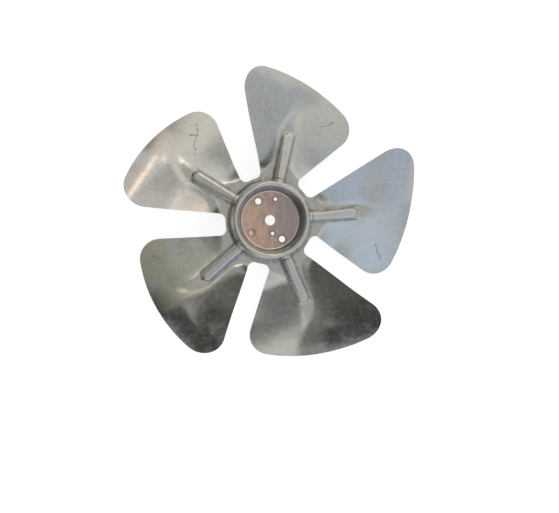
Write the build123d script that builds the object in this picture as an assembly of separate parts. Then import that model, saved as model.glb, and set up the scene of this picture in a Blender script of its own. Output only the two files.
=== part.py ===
"""Pressed aluminium axial fan impeller, five blades, 200 mm across the tips.

One sheet, stamped and cut: a flat-floored cup with a round rim ridge, a flat flange ring round the
ridge, and five cambered blades.  A hollow rib runs from the ridge out along the root half of each
blade.  Frame: millimetres, origin on the axis at the top of the cup floor, +Z out of the cup mouth,
first rib along +X.  The blades' leading edges rise towards +Z and their trailing edges fall.

The sheet is what lies between two forms: the body under its top surface and the body under its
underside, which is the same form one sheet thickness lower.
"""
from build123d import *
import os
from math import cos, exp, hypot, radians, sqrt, tan

# ---- driving dimensions (mm, degrees) ----
SHEET = 1.0                    # thickness of the sheet
BLADES = 5
BODY_BOTTOM = -60.0            # how far down the two forms reach, well below the sheet
SHEET_REACH = 55.0             # more than the sheet reaches above or below the cup floor
SKIRT = 12.0                   # how far the hub's and the ribs' walls go on below the flange
EDGE_MARGIN = 0.1              # keeps edges that lie on a cutting plane out of the roundings

# hub: radius and height of each corner of the cup and ridge, and its rounding
FLOOR_RADIUS = 19.6
CREST_INNER_RADIUS = 22.6
CREST_OUTER_RADIUS = 25.4
RIDGE_FOOT_RADIUS = 27.2
CREST_HEIGHT = 8.5
FLANGE_HEIGHT = -2.5
FLANGE_RADIUS = 29.4           # also the bottom of the slots between blades
FLOOR_ROUNDING = 1.5
CREST_ROUNDING = 1.75
FOOT_ROUNDING = 1.2            # where blade, rib and ridge meet
FOOT_ROUNDING_GROWTH = 0.8     # and how much larger it is for each millimetre down through the sheet
FOOT_TOUCH = 0.02              # edges nearer than this to two of the forms lie on their meeting line
FOOT_REACH = 1.0               # how far below the flange such edges are still rounded

# holes in the cup floor
SHAFT_HOLE_DIAMETER = 6.8
SCREW_HOLE_DIAMETER = 4.2
SCREW_CIRCLE_DIAMETER = 29.6
SCREW_ANGLE = 117.0
SMALL_HOLE_DIAMETER = 2.3
OUTER_SMALL_HOLE = (14.5, 70.2)      # radius of its centre, angle
INNER_SMALL_HOLE = (9.0, 275.4)
DRILL_LENGTH = 10.0

# locating dimple in the cup floor
DIMPLE_PLACE = (14.9, 208.2)         # radius of its centre, angle
DIMPLE_RADIUS = 2.4
DIMPLE_DEPTH = 0.7

# blade outline in plan, in the frame of its own rib (rib along +X, leading edge on the +Y side)
LEADING_ROOT = (24.0, 9.6)
LEADING_CORNER = (92.7, 45.3)
TIP_MIDDLE = (94.6, -5.6)
TRAILING_CORNER = (72.8, -47.7)
TRAILING_ROOT = (24.0, -8.0)
LEADING_CORNER_ROUNDING = 14.0
TRAILING_CORNER_ROUNDING = 13.5
SLOT_ROUNDING = 4.4

# blade surface: a flat strip under the rib between two folds, with a wing on each side; past the
# rib's end the folds run together into one broad bend, which drifts towards the trailing edge
LEADING_SLOPE_ROOT = 0.76
LEADING_SLOPE_TIP = 0.90
TRAILING_SLOPE = 0.47
LEADING_FOLD = 6.4             # from the rib's line to each fold
TRAILING_FOLD = 3.6
LEADING_SPREAD = 7.5           # how much further out the leading fold is at the hub
LEADING_SPREAD_START = 31.0
LEADING_SPREAD_FADE = 4.0
TRAILING_SPREAD = 1.28         # how steeply the trailing fold parts from the rib towards the hub
TRAILING_SPREAD_START = 39.0
TRAILING_SPREAD_SOFTENING = 6.0
FOLD_HALF_WIDTH = 2.8
FOLD_END = 58.0                # where the folds begin to run together
MERGE_LENGTH = 32.0
TIP_X = 96.0
TIP_LEADING_HALF_WIDTH = 14.5
TIP_TRAILING_HALF_WIDTH = 8.0
TIP_BEND_DRIFT = 8.0
TIP_DROOP = 10.3
LOFT_START = 20.0
LOFT_END = 102.0
LOFT_HALF_WIDTH = 46.0
SECTIONS = 30
SECTION_POINTS = 42
SLOPE_STEP = 0.01              # over which the surface's slope is taken

# rib
RIB_START = 23.6
RIB_END = 59.5
RIB_HALF_WIDTH = 4.0
RIB_TOP_AT_START = 6.6
RIB_TOP_AT_END = 0.5
RIB_DRAFT = 12.0
RIB_TOP_ROUNDING = 2.0


def ramp(distance, half_width):
    """Zero before a fold, rising one for one after it, rounded over half_width each side."""
    if distance <= -half_width:
        return 0.0
    if distance >= half_width:
        return distance
    return (distance + half_width) ** 2 / (4 * half_width)


def ease(value, start, end):
    """Smooth step from 0 at start to 1 at end."""
    share = min(max((value - start) / (end - start), 0.0), 1.0)
    return share * share * (3 - 2 * share)


def blade_height(x, y):
    """Height of the blade's top surface over the point (x, y) of its rib's frame."""
    past_rib = ease(x, FOLD_END, TIP_X)
    apart = 1 - ease(x, FOLD_END, FOLD_END + MERGE_LENGTH)
    drift = TIP_BEND_DRIFT * past_rib
    fading = exp(-max(x - LEADING_SPREAD_START, -LEADING_SPREAD_FADE) / LEADING_SPREAD_FADE)
    lead_fold = (LEADING_FOLD + LEADING_SPREAD * fading) * apart - drift
    lead_width = FOLD_HALF_WIDTH + (TIP_LEADING_HALF_WIDTH - FOLD_HALF_WIDTH) * past_rib
    lead_slope = LEADING_SLOPE_ROOT + (LEADING_SLOPE_TIP - LEADING_SLOPE_ROOT) * past_rib
    parting = TRAILING_SPREAD * ramp(TRAILING_SPREAD_START - x, TRAILING_SPREAD_SOFTENING)
    trail_fold = (TRAILING_FOLD + parting) * apart + drift
    trail_width = FOLD_HALF_WIDTH + (TIP_TRAILING_HALF_WIDTH - FOLD_HALF_WIDTH) * past_rib
    rise = lead_slope * ramp(y - lead_fold, lead_width)
    fall = TRAILING_SLOPE * ramp(-y - trail_fold, trail_width)
    droop = TIP_DROOP * (max(x - FOLD_END, 0) / (TIP_X - FOLD_END)) ** 2
    return FLANGE_HEIGHT + rise - fall - droop


def slope_factor(x, y):
    """How much further a distance square to the blade's surface is when taken straight down."""
    run = 2 * SLOPE_STEP
    slope_x = (blade_height(x + SLOPE_STEP, y) - blade_height(x - SLOPE_STEP, y)) / run
    slope_y = (blade_height(x, y + SLOPE_STEP) - blade_height(x, y - SLOPE_STEP)) / run
    return sqrt(1 + slope_x ** 2 + slope_y ** 2)


def blade_section(x, depth):
    """Closed section, across the blade at x, of the body a depth under the blade's top surface."""
    places = [number / (SECTION_POINTS - 1) for number in range(SECTION_POINTS)]
    points = []
    for place in places:
        y = LOFT_HALF_WIDTH * (2 * place - 1)
        points.append(Vector(x, y, blade_height(x, y) - depth * slope_factor(x, y)))
    top = Edge.make_spline(points, parameters=places)
    low_corners = [Vector(x, LOFT_HALF_WIDTH, BODY_BOTTOM), Vector(x, -LOFT_HALF_WIDTH, BODY_BOTTOM)]
    corners = [top @ 1, *low_corners, top @ 0]
    sides = [Edge.make_line(start, end) for start, end in zip(corners, corners[1:])]
    return Wire([top] + sides)


def blade_body(depth):
    """Everything under the blade surface, lofted through its sections."""
    step = (LOFT_END - LOFT_START) / (SECTIONS - 1)
    places = [LOFT_START + step * number for number in range(SECTIONS)]
    return Solid.make_loft([blade_section(x, depth) for x in places])


def meeting_point(first, second):
    """Where two lines cross, each given by two of its points."""
    (x1, z1), (x2, z2) = first
    (x3, z3), (x4, z4) = second
    cross = (x2 - x1) * (z4 - z3) - (z2 - z1) * (x4 - x3)
    share = ((x3 - x1) * (z4 - z3) - (z3 - z1) * (x4 - x3)) / cross
    return (x1 + share * (x2 - x1), z1 + share * (z2 - z1))


def lowered(start, end, depth):
    """The profile line from start to end, moved a depth to its lower side."""
    run, rise = end[0] - start[0], end[1] - start[1]
    length = sqrt(run ** 2 + rise ** 2)
    right, down = depth * rise / length, depth * run / length
    return ((start[0] + right, start[1] - down), (end[0] + right, end[1] - down))


def hub_body(depth):
    """Everything under the cup floor and its ridge, turned about the axis."""
    foot = (RIDGE_FOOT_RADIUS, FLANGE_HEIGHT)
    corners = [(0, 0), (FLOOR_RADIUS, 0), (CREST_INNER_RADIUS, CREST_HEIGHT)]
    corners += [(CREST_OUTER_RADIUS, CREST_HEIGHT), foot]
    walls = [lowered(start, end, depth) for start, end in zip(corners, corners[1:])]
    bends = [meeting_point(before, after) for before, after in zip(walls, walls[1:])]
    skirt_end = FLANGE_HEIGHT - SKIRT
    bottom = meeting_point(walls[-1], ((0, skirt_end), (1, skirt_end)))
    roundings = [FLOOR_ROUNDING + depth, CREST_ROUNDING - depth, CREST_ROUNDING - depth]
    with BuildSketch(Plane.XZ) as half_section:
        with BuildLine():
            FilletPolyline((0, -depth), *bends, bottom, radius=roundings)
            Polyline(bottom, (bottom[0], BODY_BOTTOM), (0, BODY_BOTTOM), (0, -depth))
        make_face()
    return revolve(half_section.sketch, Axis.Z)


def rib_body(depth):
    """Everything under one rib: drafted sides, a round nose and a sloping, rounded top."""
    spread = SKIRT * tan(radians(RIB_DRAFT))
    half_width = RIB_HALF_WIDTH - depth / cos(radians(RIB_DRAFT)) + spread
    nose = RIB_END - RIB_HALF_WIDTH
    with BuildSketch(Plane.XY.offset(FLANGE_HEIGHT - SKIRT)) as plan:
        with BuildLine():
            Polyline((nose, half_width), (0, half_width), (0, -half_width), (nose, -half_width))
            ThreePointArc((nose, -half_width), (nose + half_width, 0), (nose, half_width))
        make_face()
    blank = extrude(plan.sketch, amount=SKIRT + CREST_HEIGHT - FLANGE_HEIGHT, taper=RIB_DRAFT)
    slope = (RIB_TOP_AT_START - RIB_TOP_AT_END) / (RIB_END - RIB_START)
    top_of_start = RIB_TOP_AT_START - depth * sqrt(1 + slope ** 2)
    top_plane = Plane(origin=(RIB_START, 0, top_of_start), z_dir=(slope, 0, 1))
    body = split(blank, bisect_by=top_plane, keep=Keep.BOTTOM)
    body = split(body, bisect_by=Plane.YZ.offset(RIB_START), keep=Keep.TOP)
    top = body.faces().sort_by(Axis((0, 0, 0), (slope, 0, 1)))[-1]
    rim = [edge for edge in top.edges() if edge.center().X > RIB_START + EDGE_MARGIN]
    return fillet(rim, RIB_TOP_ROUNDING - depth)


def formed_body(depth):
    """One blade, its rib and the hub joined, with a rolled fillet where they meet."""
    forms = [blade_body(depth), hub_body(depth), rib_body(depth)]
    joined = forms[0] + forms[1] + forms[2]
    lowest = FLANGE_HEIGHT - depth - FOOT_REACH
    roots = []
    for edge in joined.edges():
        middle = edge @ 0.5
        touched = [form for form in forms if form.distance_to(Vertex(*middle)) < FOOT_TOUCH]
        if len(touched) > 1 and middle.Z > lowest and middle.X > LOFT_START + EDGE_MARGIN:
            roots.append(edge)
    return fillet(roots, FOOT_ROUNDING + FOOT_ROUNDING_GROWTH * depth)


def sector_plan():
    """Plan of one blade with its share of the hub, slots rounded into the flange ring."""
    half_pitch = 180 / BLADES
    ring_end = Vector(FLANGE_RADIUS, 0).rotate(Axis.Z, half_pitch)
    ring_start = Vector(FLANGE_RADIUS, 0).rotate(Axis.Z, -half_pitch)
    with BuildSketch() as plan:
        with BuildLine():
            CenterArc((0, 0), FLANGE_RADIUS, -half_pitch, 2 * half_pitch)
            Polyline(ring_end, (0, 0), ring_start)
        make_face()
        with BuildLine():
            Polyline(TRAILING_CORNER, TRAILING_ROOT, LEADING_ROOT, LEADING_CORNER)
            ThreePointArc(LEADING_CORNER, TIP_MIDDLE, TRAILING_CORNER)
        make_face()
        on_ring = [spot for spot in plan.vertices() if hypot(spot.X, spot.Y) < FLANGE_RADIUS + EDGE_MARGIN]
        slot_corners = [spot for spot in on_ring if spot.X > ring_end.X + EDGE_MARGIN]
        fillet(slot_corners, SLOT_ROUNDING)
        fillet(plan.vertices().sort_by(Axis.Y)[-1], LEADING_CORNER_ROUNDING)
        fillet(plan.vertices().sort_by(Axis.Y)[0], TRAILING_CORNER_ROUNDING)
    return plan.sketch


def blade_sector():
    """The sheet of one blade and its share of the hub."""
    reach = extrude(sector_plan(), amount=SHEET_REACH, both=True)
    return (formed_body(0.0) & reach) - (formed_body(SHEET) & reach)


def drill(diameter, radius, angle):
    """Cutter for a round hole in the cup floor."""
    centre = Vector(radius, 0).rotate(Axis.Z, angle)
    return Pos(centre.X, centre.Y, 0) * Cylinder(diameter / 2, DRILL_LENGTH)


def dimpled(sheet):
    """The sheet with a ball pressed into its cup floor, which swells out below."""
    radius = (DIMPLE_RADIUS ** 2 + DIMPLE_DEPTH ** 2) / (2 * DIMPLE_DEPTH)
    centre = Vector(DIMPLE_PLACE[0], 0).rotate(Axis.Z, DIMPLE_PLACE[1])
    place = Pos(centre.X, centre.Y, radius - DIMPLE_DEPTH)
    swelling = place * Sphere(radius + SHEET)
    sheet += split(swelling, bisect_by=Plane.XY.offset(-SHEET / 2), keep=Keep.BOTTOM)
    return sheet - place * Sphere(radius)


def impeller():
    """The whole pressing: blades repeated round the axis, the locating dimple and the floor holes."""
    sector = blade_sector()
    sheet = sector
    for count in range(1, BLADES):
        sheet += Rot(0, 0, count * 360 / BLADES) * sector
    sheet = dimpled(sheet)
    sheet -= drill(SHAFT_HOLE_DIAMETER, 0, 0)
    for turn in (0, 180):
        sheet -= drill(SCREW_HOLE_DIAMETER, SCREW_CIRCLE_DIAMETER / 2, SCREW_ANGLE + turn)
    sheet -= drill(SMALL_HOLE_DIAMETER, *OUTER_SMALL_HOLE)
    sheet -= drill(SMALL_HOLE_DIAMETER, *INNER_SMALL_HOLE)
    return sheet


def main():
    os.makedirs("parts", exist_ok=True)
    export_step(impeller(), "parts/impeller.step")


if __name__ == "__main__":
    main()
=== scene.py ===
"""A pressed aluminium axial fan impeller lying on a pale floor, seen nearly from straight above."""
import math
from types import SimpleNamespace

import bpy
from mathutils import Matrix, Vector


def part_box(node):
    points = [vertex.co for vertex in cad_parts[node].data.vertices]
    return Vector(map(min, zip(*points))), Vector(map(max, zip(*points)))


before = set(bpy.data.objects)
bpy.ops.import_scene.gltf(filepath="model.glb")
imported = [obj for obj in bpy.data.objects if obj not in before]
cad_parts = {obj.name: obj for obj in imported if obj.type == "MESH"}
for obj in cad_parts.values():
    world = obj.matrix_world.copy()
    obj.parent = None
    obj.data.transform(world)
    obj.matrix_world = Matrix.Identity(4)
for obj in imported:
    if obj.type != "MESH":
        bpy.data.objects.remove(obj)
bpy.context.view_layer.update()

# ---- the view (metres, radians) ----
FLANGE_HEIGHT = -0.0025            # the flange's top surface, in the part's frame
VIEW_TURN = math.radians(5.2)      # the first rib, anticlockwise from the picture's right
VIEW_LEAN_X = -0.0427              # the axis leans this much about the picture's x ...
VIEW_LEAN_Y = 0.112                # ... and this much about its y
CAMERA_DISTANCE = 1.230
SENSOR_WIDTH = 36.0                # this and the lens in millimetres
LENS = 119.3
CLIP_START = 0.01
AIM = (0.0065, -0.0240)            # what the picture's centre shows, right of the axis and below it

# ---- the room: pale, warm on one side, bluish on another, and dark low down behind the third ----
# colours by azimuth in degrees, anticlockwise from +X
LOW_WALL = (
    (0, (0.44, 0.45, 0.46)), (25, (0.66, 0.64, 0.61)), (55, (0.66, 0.62, 0.58)),
    (72, (0.72, 0.63, 0.56)), (80, (0.52, 0.46, 0.41)), (88, (0.02, 0.02, 0.025)),
    (135, (0.005, 0.005, 0.01)), (165, (0.01, 0.008, 0.008)), (200, (0.02, 0.016, 0.016)),
    (233, (0.03, 0.026, 0.026)), (246, (0.46, 0.51, 0.59)), (285, (0.48, 0.54, 0.64)),
    (320, (0.46, 0.47, 0.49)), (360, (0.44, 0.45, 0.46)),
)
HIGH_WALL = (
    (0, (0.60, 0.61, 0.60)), (30, (0.78, 0.76, 0.70)), (75, (0.80, 0.77, 0.70)),
    (92, (0.52, 0.50, 0.43)), (105, (0.36, 0.34, 0.28)), (140, (0.33, 0.335, 0.28)),
    (165, (0.33, 0.325, 0.295)), (190, (0.17, 0.165, 0.155)), (218, (0.20, 0.20, 0.195)),
    (230, (0.78, 0.78, 0.70)), (242, (0.76, 0.76, 0.70)), (260, (0.54, 0.59, 0.68)),
    (285, (0.60, 0.68, 0.79)), (315, (0.58, 0.65, 0.73)), (360, (0.60, 0.61, 0.60)),
)
CEILING = (0.45, 0.44, 0.42)
LOW_TO_HIGH = (0.15, 0.62)         # sines of the elevations between which the walls blend ...
HIGH_TO_CEILING = (0.80, 0.97)     # ... and the high wall turns into the ceiling

WHITE = (1, 1, 1)
FLOOR_SIZE = 6.0
FLOOR_COLOUR = (0.8, 0.8, 0.8)
FLOOR_GLOW = 0.74                  # what the camera sees added to the floor, so that it is white ...
FLOOR_GLOW_MIRRORED = 0.25         # ... and what the metal's reflections see added to it

# square soft lamps round the impeller: degrees, metres, watts
LAMP_DISTANCE = 1.5
PEACH = (1.0, 0.76, 0.58)
CREAM = (1.0, 0.95, 0.84)
OLIVE = (1.0, 0.98, 0.78)
LAMPS = {
    "peach_low": dict(azimuth=60, elevation=5, size=0.30, watts=0.34, colour=PEACH),
    "peach_high": dict(azimuth=47, elevation=17, size=0.25, watts=0.26, colour=PEACH),
    "cream": dict(azimuth=88, elevation=52, size=0.30, watts=0.60, colour=CREAM),
    "olive": dict(azimuth=128, elevation=52, size=0.35, watts=0.26, colour=OLIVE),
}

# ---- the sheet (millimetres in the part's frame, linear colours) ----
TO_MILLIMETRES = 1000.0
BLADES = 5
ALUMINIUM = (0.70, 0.70, 0.685)
ALUMINIUM_SHARE = 0.5              # how much of it lies over the two tints
COOL_TINT = (0.66, 0.70, 0.72)
WARM_TINT = (0.72, 0.69, 0.63)

# noise patterns: the size of their features, their octaves and their stretch along turned axes
STREAK_TURN = math.radians(-14)    # the streaks run this far from the part's y axis
CLOUDS = dict(size=22.0, detail=3.0)
MOTTLE = dict(size=3.0, detail=4.0)
GRAIN = dict(size=0.5, detail=3.0, stretch=(14, 1, 6), turn=STREAK_TURN)
SMUDGES = dict(size=9.0, detail=4.0, stretch=(1.6, 1, 1), turn=0.6)
STREAKS = dict(size=4.5, detail=3.0, stretch=(1, 2.4, 1), turn=STREAK_TURN)
CROOKS = dict(size=1.6, detail=2.0)
GAPS = dict(size=1.1, detail=2.0)
NOISE_SWING = (0.3, 0.7)           # the noise values between which most patterns swing
CLOUD_EDGES = (0.38, 0.62)         # the same for the tints ...
SMUDGE_EDGES = (0.52, 0.72)        # ... and for the darkening of the smudges
MOTTLE_SHADE = (0.96, 1.03)
GRAIN_SHADE = (-0.03, 0.03)
SMUDGE_SHADE = (1.0, 0.93)

# grime and painted shade at the ridge's foot, round the cup floor and in the corners beside the ribs
GRIME_AND_CORNER_SHADE = (0.16, 0.14, 0.13)
GRIME_AND_SHADE_EDGES = (0.35, 0.65)
GRIME_AND_SHADE_SHARE = (0.3, 0.7)
RIDGE_FOOT = 28.0
FLOOR_RIM = 20.2
CIRCLE_REACH = 1.1                 # how far the grime and painted shade reach on either side of the two circles
RIB_FOOT = 4.6                     # from the rib's line to the corner beside it
RIB_REACH = 0.9
RIB_FROM, RIB_TO = 27.0, 60.5      # where the rib's corners begin and end, from the axis ...
FADE_FROM, FADE_TO = 2.0, 3.0      # ... and over what lengths their grime and painted shade fade

# painted shade and reflection on the inner wall of the cup, a darker bluish-grey
PAINTED_WALL_SHADE = (0.42, 0.47, 0.52)
WALL_RADIUS = 21.2
WALL_REACH = 1.9

# the tinted disc of the cup floor: coppery on one side and purple-grey on the other
DISC_RADIUS = 19.3
DISC_EDGE = 1.2
DISC_RAGGED = (-0.4, 0.4)
DISC_TINTS = (
    (0.0, (0.86, 0.61, 0.49)), (0.5, (0.68, 0.51, 0.44)), (1.0, (0.52, 0.45, 0.45)),
)
TINT_SLOPE = 0.05                 # how fast the tint turns, a millimetre across the floor
TINT_STREAKS = (-0.45, 0.45)
TINT_EDGES = (-0.7, 0.6)
DISC_MOTTLE_SHADE = (0.90, 1.06)
# painted shade in a ring round the dimple, and dark rings round the holes of the cup floor: centre and
# radius
RINGS = (
    ((-13.13, -7.04), 2.3), ((-6.72, 13.19), 2.7), ((6.72, -13.19), 2.7),
    ((4.91, 13.64), 1.7), ((0.85, -8.96), 1.7),
)
RING_WIDTH = 0.9
RING_SHARE = 0.6
RING_COLOUR = (0.22, 0.18, 0.19)

# dark scratches and dents: each from one point to another, with a half width
SCRATCH = (0.13, 0.13, 0.12)
SCRATCHES = (
    ((-41.4, 69.3), (-41.3, 62.6), 0.50), ((-46.2, 62.0), (-41.2, 61.2), 0.65),
    ((-42.6, 61.0), (-44.0, 56.9), 0.60), ((-45.5, 55.3), (-44.6, 51.4), 0.55),
    ((-44.7, 51.3), (-42.8, 52.3), 0.50), ((-45.4, 48.3), (-45.3, 47.6), 0.70),
    ((70.5, -21.5), (71.9, -26.0), 0.40), ((71.9, -26.0), (74.1, -32.6), 0.55),
    ((40.7, 59.5), (46.0, 60.2), 0.32), ((46.0, 60.2), (51.3, 62.6), 0.36),
    ((-79.4, -15.6), (-75.6, -17.4), 0.36), ((-75.6, -17.4), (-72.6, -20.4), 0.32),
)
# bright flecks, and a painted highlight in the middle of the dimple
BRIGHT = (0.90, 0.90, 0.89)
FLECKS = (
    ((1.6, -73.6), (2.4, -75.4), 0.6), ((-3.4, -81.0), (-3.0, -81.9), 0.55),
    ((-13.5, -6.9), (-13.1, -7.0), 1.3),
)
STROKE_CORE = 0.3                  # the share of a stroke's half width that is full strength
CROOK_WAY = (1, 0.6, 0)            # strokes are pushed about along this ...
CROOK_SHIFT = (-0.45, 0.45)        # ... by so much
GAP_EDGES = (0.40, 0.56)
GAP_STRENGTH = (0.1, 0.95)         # a scratch's strength in its gaps and between them

# roughness, and heights in shares of the relief
PLAIN_ROUGHNESS = (0.21, 0.27)
SMUDGE_ROUGHNESS_EDGES = (0.5, 0.7)
SMUDGE_ROUGHNESS = (0.0, 0.06)
DISC_ROUGHNESS = 0.14
WORN_ROUGHNESS = 0.2
MOTTLE_HEIGHT = 0.3
CLOUD_HEIGHT = 0.8
GRAIN_HEIGHT = 0.08
SCRATCH_DEPTH = 0.8
RELIEF_HEIGHT = 0.00002            # metres


# ---- shader helpers ----
def feed(tree, socket, source):
    """Links a socket to another one, or sets it to a plain value; a colour's alpha is one."""
    if isinstance(source, bpy.types.NodeSocket):
        tree.links.new(source, socket)
    elif socket.type == "RGBA":
        socket.default_value = (*source, 1)
    else:
        socket.default_value = source


def node(tree, kind, *sources, named=None, **settings):
    """A new node with its settings; the sources feed its inputs in order, and named ones by name."""
    made = tree.nodes.new("ShaderNode" + kind)
    for name, value in settings.items():
        setattr(made, name, value)
    for socket, source in zip(made.inputs, sources):
        feed(tree, socket, source)
    for name, source in (named or {}).items():
        feed(tree, made.inputs[name], source)
    return made


def maths(tree, operation, *values, **settings):
    """A number from a maths operation on others."""
    return node(tree, "Math", *values, operation=operation, **settings).outputs[0]


def product(tree, first, *others):
    """All the numbers multiplied."""
    for other in others:
        first = maths(tree, "MULTIPLY", first, other)
    return first


def total(tree, first, *others):
    """All the numbers added."""
    for other in others:
        first = maths(tree, "ADD", first, other)
    return first


def strongest(tree, first, *others):
    """The largest of the numbers."""
    for other in others:
        first = maths(tree, "MAXIMUM", first, other)
    return first


def between(tree, value, start, end, low=0.0, high=1.0):
    """Smoothly from low, where value is start, to high, where it is end."""
    made = node(tree, "MapRange", value, start, end, low, high, interpolation_type="SMOOTHSTEP")
    return made.outputs[0]


def near(tree, value, middle, reach):
    """One where value is middle, fading to nothing at reach from it."""
    return between(tree, maths(tree, "ABSOLUTE", maths(tree, "SUBTRACT", value, middle)), reach, 0.0)


def blend(tree, share, first, second, mode="MIX"):
    """The first colour with a share of the second one mixed into it."""
    sockets = {"Factor": share, 6: first, 7: second}
    return node(tree, "Mix", named=sockets, data_type="RGBA", blend_type=mode).outputs[2]


def shaded(tree, colour, shade):
    """A colour made lighter or darker by a plain number."""
    grey = node(tree, "CombineColor", shade, shade, shade).outputs[0]
    return blend(tree, 1.0, colour, grey, "MULTIPLY")


def ramp(tree, value, stops):
    """Colours by value; stops are (value, colour) pairs in rising order."""
    made = node(tree, "ValToRGB", value)
    elements = made.color_ramp.elements
    while len(elements) < len(stops):
        elements.new(0.5)          # at any place: the stops move them all
    for element, (position, colour) in zip(elements, stops):
        element.position = position
        element.color = (*colour, 1)
    return made.outputs[0]


def vectors(tree, operation, *sources):
    """A vector operation whose result is a vector."""
    return node(tree, "VectorMath", *sources, operation=operation).outputs["Vector"]


def scaled(tree, direction, share):
    """A vector made longer or shorter by a number."""
    return node(tree, "VectorMath", direction, named={"Scale": share}, operation="SCALE").outputs["Vector"]


def measured(tree, operation, *sources):
    """A vector operation whose result is a number, such as a length."""
    return node(tree, "VectorMath", *sources, operation=operation).outputs["Value"]


def noise(tree, place, size, detail, stretch=(1, 1, 1), turn=0.0):
    """Noise with features of about size millimetres, stretched along the turned axes."""
    scale = [1 / (size * length) for length in stretch]
    mapping = node(tree, "Mapping", place, named={"Rotation": (0, 0, turn), "Scale": scale})
    sockets = {"Scale": 1.0, "Detail": detail, "Vector": mapping.outputs[0]}
    return node(tree, "TexNoise", named=sockets).outputs["Fac"]


def cleared_tree(owner):
    """The empty node tree of a material or a world."""
    owner.use_nodes = True
    owner.node_tree.nodes.clear()
    return owner.node_tree


# ---- the sheet's material ----
def crooked_place(tree, flat):
    """A place in plan, pushed about a little, in which straight strokes look crooked."""
    shift = between(tree, noise(tree, flat, **CROOKS), *NOISE_SWING, *CROOK_SHIFT)
    return vectors(tree, "ADD", flat, scaled(tree, CROOK_WAY, shift))


def sheet_patterns(tree):
    """Where a point is on the sheet, and the noise patterns that several of its layers share."""
    coordinates = node(tree, "TexCoord").outputs
    place = scaled(tree, coordinates["Object"], TO_MILLIMETRES)
    flat = vectors(tree, "MULTIPLY", place, (1, 1, 0))
    x, y, _ = node(tree, "SeparateXYZ", place).outputs
    facing = node(tree, "SeparateXYZ", coordinates["Normal"]).outputs["Z"]
    return SimpleNamespace(
        place=place, flat=flat, x=x, y=y,
        top_side=maths(tree, "GREATER_THAN", facing, 0.0),
        radius=measured(tree, "LENGTH", flat),
        crooked=crooked_place(tree, flat),
        clouds=noise(tree, place, **CLOUDS),
        mottle=noise(tree, place, **MOTTLE),
        grain=noise(tree, place, **GRAIN),
        smudges=noise(tree, place, **SMUDGES),
    )


def rolled_colour(tree, sheet):
    """Aluminium in drifting cool and warm tints, with mottle, rolling grain and smudges."""
    tints = blend(tree, between(tree, sheet.clouds, *CLOUD_EDGES), COOL_TINT, WARM_TINT)
    colour = blend(tree, ALUMINIUM_SHARE, tints, ALUMINIUM)
    mottle = between(tree, sheet.mottle, *NOISE_SWING, *MOTTLE_SHADE)
    grain = between(tree, sheet.grain, *NOISE_SWING, *GRAIN_SHADE)
    smudges = between(tree, sheet.smudges, *SMUDGE_EDGES, *SMUDGE_SHADE)
    return shaded(tree, colour, product(tree, total(tree, mottle, grain), smudges))


def rib_corners(tree, sheet):
    """One in the corners on both sides of each rib."""
    turns = product(tree, maths(tree, "ARCTAN2", sheet.y, sheet.x), BLADES / math.tau)
    past_rib = maths(tree, "SUBTRACT", turns, maths(tree, "ROUND", turns))
    angle = product(tree, past_rib, math.tau / BLADES)
    along = product(tree, sheet.radius, maths(tree, "COSINE", angle))
    across = maths(tree, "ABSOLUTE", product(tree, sheet.radius, maths(tree, "SINE", angle)))
    begun = between(tree, along, RIB_FROM - FADE_FROM, RIB_FROM)
    not_over = between(tree, along, RIB_TO, RIB_TO - FADE_TO)
    return product(tree, near(tree, across, RIB_FOOT, RIB_REACH), product(tree, begun, not_over))


def grime_and_corner_shade(tree, sheet):
    """Where dirt has gathered and shade is painted into the corners, in patches."""
    foot = near(tree, sheet.radius, RIDGE_FOOT, CIRCLE_REACH)
    rim = near(tree, sheet.radius, FLOOR_RIM, CIRCLE_REACH)
    patches = between(tree, sheet.mottle, *GRIME_AND_SHADE_EDGES, *GRIME_AND_SHADE_SHARE)
    return product(tree, strongest(tree, foot, rim, rib_corners(tree, sheet)), patches)


def ring_marks(tree, sheet):
    """One on the rings round the dimple, its painted shade, and round the holes of the cup floor."""
    marks = 0.0
    for centre, ring in RINGS:
        distance = measured(tree, "LENGTH", vectors(tree, "SUBTRACT", sheet.flat, (*centre, 0)))
        marks = strongest(tree, near(tree, distance, ring, RING_WIDTH), marks)
    return marks


def disc_colour(tree, sheet):
    """The disc's colour, in streaks that turn from copper to purple-grey along x."""
    streaks = between(tree, noise(tree, sheet.place, **STREAKS), *NOISE_SWING, *TINT_STREAKS)
    side = total(tree, product(tree, sheet.x, TINT_SLOPE), streaks)
    disc_layer = ramp(tree, between(tree, side, *TINT_EDGES), DISC_TINTS)
    # painted shade round the dimple, and dark rings round the holes
    disc_layer = blend(tree, product(tree, ring_marks(tree, sheet), RING_SHARE), disc_layer, RING_COLOUR)
    return shaded(tree, disc_layer, between(tree, sheet.mottle, *NOISE_SWING, *DISC_MOTTLE_SHADE))


def tinted_disc(tree, sheet):
    """One on the cup floor, with a ragged edge."""
    ragged = total(tree, sheet.radius, between(tree, sheet.smudges, *NOISE_SWING, *DISC_RAGGED))
    return between(tree, ragged, DISC_RADIUS, DISC_RADIUS - DISC_EDGE)


def stroke(tree, place, start, end, half_width):
    """One on the line from start to end, fading to nothing half a width away."""
    start, end = Vector((*start, 0)), Vector((*end, 0))
    along = end - start
    offset = vectors(tree, "SUBTRACT", place, start)
    ahead = measured(tree, "DOT_PRODUCT", offset, along)
    share = maths(tree, "DIVIDE", ahead, along.length_squared, use_clamp=True)
    nearest = vectors(tree, "SUBTRACT", offset, scaled(tree, along, share))
    return between(tree, measured(tree, "LENGTH", nearest), half_width, STROKE_CORE * half_width)


def strokes(tree, sheet, lines):
    """The strongest of many strokes on the top side, each a little crooked."""
    marks = 0.0
    for start, end, half_width in lines:
        marks = strongest(tree, stroke(tree, sheet.crooked, start, end, half_width), marks)
    return product(tree, marks, sheet.top_side)


def scratches(tree, sheet):
    """The dark strokes, broken up by gaps."""
    gaps = between(tree, noise(tree, sheet.flat, **GAPS), *GAP_EDGES, *GAP_STRENGTH)
    return product(tree, strokes(tree, sheet, SCRATCHES), gaps)


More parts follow.
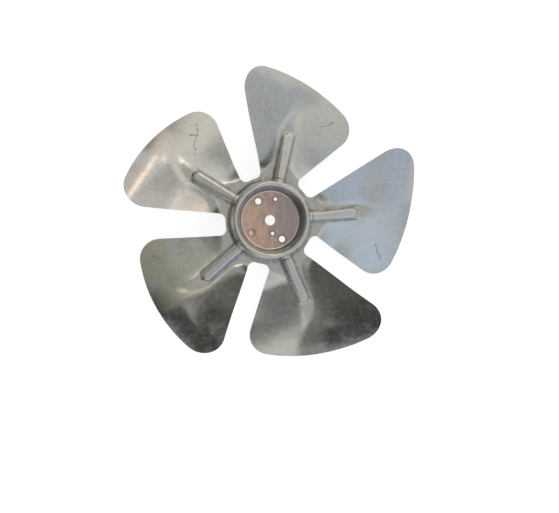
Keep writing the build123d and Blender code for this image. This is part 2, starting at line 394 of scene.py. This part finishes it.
def sheet_roughness(tree, sheet, disc, worn):
    """Satin, and duller on smudges, on the tinted disc and where the sheet is worn."""
    plain = between(tree, sheet.mottle, *NOISE_SWING, *PLAIN_ROUGHNESS)
    smudges = between(tree, sheet.smudges, *SMUDGE_ROUGHNESS_EDGES, *SMUDGE_ROUGHNESS)
    disc_layer = product(tree, disc, DISC_ROUGHNESS)
    return total(tree, plain, smudges, disc_layer, product(tree, worn, WORN_ROUGHNESS))


def sheet_relief(tree, sheet, dark):
    """The normal of a sheet with a faint waviness, rolling grain and sunk scratches."""
    mottle = product(tree, sheet.mottle, MOTTLE_HEIGHT)
    clouds = product(tree, sheet.clouds, CLOUD_HEIGHT)
    grain = product(tree, sheet.grain, GRAIN_HEIGHT)
    height = maths(tree, "SUBTRACT", total(tree, mottle, clouds, grain), product(tree, dark, SCRATCH_DEPTH))
    sockets = {"Strength": 1.0, "Distance": RELIEF_HEIGHT, "Height": height}
    return node(tree, "Bump", named=sockets).outputs[0]


def sheet_metal():
    """Satin rolled aluminium with a tinted cup floor, grime and painted shade in the corners, painted shade
    on the cup's inner wall, and a few scratches.
    """
    material = bpy.data.materials.new("satin_aluminium")
    tree = cleared_tree(material)
    sheet = sheet_patterns(tree)
    wall = near(tree, sheet.radius, WALL_RADIUS, WALL_REACH)
    # grime together with painted shade in the corners
    dirt_and_shade = grime_and_corner_shade(tree, sheet)
    disc = tinted_disc(tree, sheet)
    dark = scratches(tree, sheet)

    colour = rolled_colour(tree, sheet)
    # painted shade and reflection: the cup's inner wall darkened to bluish-grey
    colour = blend(tree, product(tree, wall, sheet.top_side), colour, PAINTED_WALL_SHADE)
    # grime, with painted shade in the corners at the ridge's foot, round the cup floor and beside the ribs
    colour = blend(tree, dirt_and_shade, colour, GRIME_AND_CORNER_SHADE)
    # the cup floor's tint, coppery turning to purple-grey along x
    colour = blend(tree, product(tree, disc, sheet.top_side), colour, disc_colour(tree, sheet))
    colour = blend(tree, dark, colour, SCRATCH)
    # bright flecks, and a painted highlight in the dimple's middle
    colour = blend(tree, strokes(tree, sheet, FLECKS), colour, BRIGHT)

    metal = node(tree, "BsdfPrincipled", named={
        "Base Color": colour,
        "Metallic": 1.0,
        "Roughness": sheet_roughness(tree, sheet, disc, strongest(tree, dirt_and_shade, dark)),
        "Normal": sheet_relief(tree, sheet, dark),
    })
    node(tree, "OutputMaterial", metal.outputs[0])
    return material


# ---- the studio ----
def floor_material():
    """Pale and matt on top, brighter to the camera and in the metal, and clear from below."""
    material = bpy.data.materials.new("floor")
    tree = cleared_tree(material)
    path = node(tree, "LightPath").outputs
    mirrored = strongest(tree, path["Is Glossy Ray"], path["Is Transmission Ray"])
    seen = product(tree, path["Is Camera Ray"], FLOOR_GLOW)
    strength = strongest(tree, seen, product(tree, mirrored, FLOOR_GLOW_MIRRORED))
    plain = node(tree, "BsdfDiffuse", FLOOR_COLOUR).outputs[0]
    glow = node(tree, "Emission", WHITE, strength).outputs[0]
    top = node(tree, "AddShader", plain, glow).outputs[0]
    clear = node(tree, "BsdfTransparent").outputs[0]
    below = node(tree, "NewGeometry").outputs["Backfacing"]
    node(tree, "OutputMaterial", node(tree, "MixShader", below, top, clear).outputs[0])
    return material


def add_floor():
    """A floor under the impeller's lowest points."""
    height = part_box("impeller")[0].z
    half = FLOOR_SIZE / 2
    corners = [(-half, -half, height), (half, -half, height), (half, half, height), (-half, half, height)]
    mesh = bpy.data.meshes.new("floor")
    mesh.from_pydata(corners, [], [(0, 1, 2, 3)])
    mesh.materials.append(floor_material())
    floor = bpy.data.objects.new("floor", mesh)
    bpy.context.collection.objects.link(floor)


def add_lamp(name, azimuth, elevation, size, watts, colour):
    """A square soft lamp, aimed at the impeller from an azimuth and elevation in degrees."""
    turn, rise = math.radians(azimuth), math.radians(elevation)
    level = math.cos(rise)
    way = Vector((level * math.cos(turn), level * math.sin(turn), math.sin(rise)))
    data = bpy.data.lights.new(name, "AREA")
    data.shape = "SQUARE"
    data.size = size
    data.energy = watts
    data.color = colour
    lamp = bpy.data.objects.new(name, data)
    lamp.location = LAMP_DISTANCE * way
    lamp.rotation_euler = way.to_track_quat("Z", "Y").to_euler()
    bpy.context.collection.objects.link(lamp)


def wall_colour(tree, turn, stops):
    """A wall's colour by the share of a full turn."""
    return ramp(tree, turn, [(azimuth / 360, colour) for azimuth, colour in stops])


def add_world():
    """The room's light by direction, and plain white where the camera looks past the floor."""
    world = bpy.data.worlds.new("studio")
    tree = cleared_tree(world)
    direction = node(tree, "TexCoord").outputs["Generated"]
    across, along, up = node(tree, "SeparateXYZ", direction).outputs
    turns = maths(tree, "DIVIDE", maths(tree, "ARCTAN2", along, across), math.tau)
    turn = maths(tree, "FRACT", total(tree, turns, 1.0))
    low, high = (wall_colour(tree, turn, stops) for stops in (LOW_WALL, HIGH_WALL))
    wall = blend(tree, between(tree, up, *LOW_TO_HIGH), low, high)
    room = blend(tree, between(tree, up, *HIGH_TO_CEILING), wall, CEILING)
    light = node(tree, "Background", room).outputs[0]
    white = node(tree, "Background", WHITE).outputs[0]
    seen = node(tree, "LightPath").outputs["Is Camera Ray"]
    node(tree, "OutputWorld", node(tree, "MixShader", seen, light, white).outputs[0])
    bpy.context.scene.world = world


def add_camera():
    """Looks at the impeller from where the picture was taken."""
    lean = Matrix.Rotation(VIEW_LEAN_Y, 3, "Y") @ Matrix.Rotation(VIEW_LEAN_X, 3, "X")
    to_part = (lean @ Matrix.Rotation(VIEW_TURN, 3, "Z")).transposed()
    centre = Vector((0, 0, FLANGE_HEIGHT))
    place = centre + to_part @ Vector((0, 0, CAMERA_DISTANCE))
    aim = centre + to_part @ Vector((*AIM, 0))
    back = (place - aim).normalized()
    right = (to_part @ Vector((0, 1, 0))).cross(back).normalized()
    turned = Matrix((right, back.cross(right), back)).transposed().to_4x4()
    data = bpy.data.cameras.new("camera")
    data.sensor_width = SENSOR_WIDTH
    data.lens = LENS
    data.clip_start = CLIP_START
    camera = bpy.data.objects.new("camera", data)
    camera.matrix_world = Matrix.Translation(place) @ turned
    bpy.context.collection.objects.link(camera)
    bpy.context.scene.camera = camera


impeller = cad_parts["impeller"]
impeller.data.materials.clear()
impeller.data.materials.append(sheet_metal())

add_floor()
for lamp_name, lamp_values in LAMPS.items():
    add_lamp(lamp_name, **lamp_values)
add_world()
add_camera()
bpy.context.scene.view_settings.view_transform = "Standard"
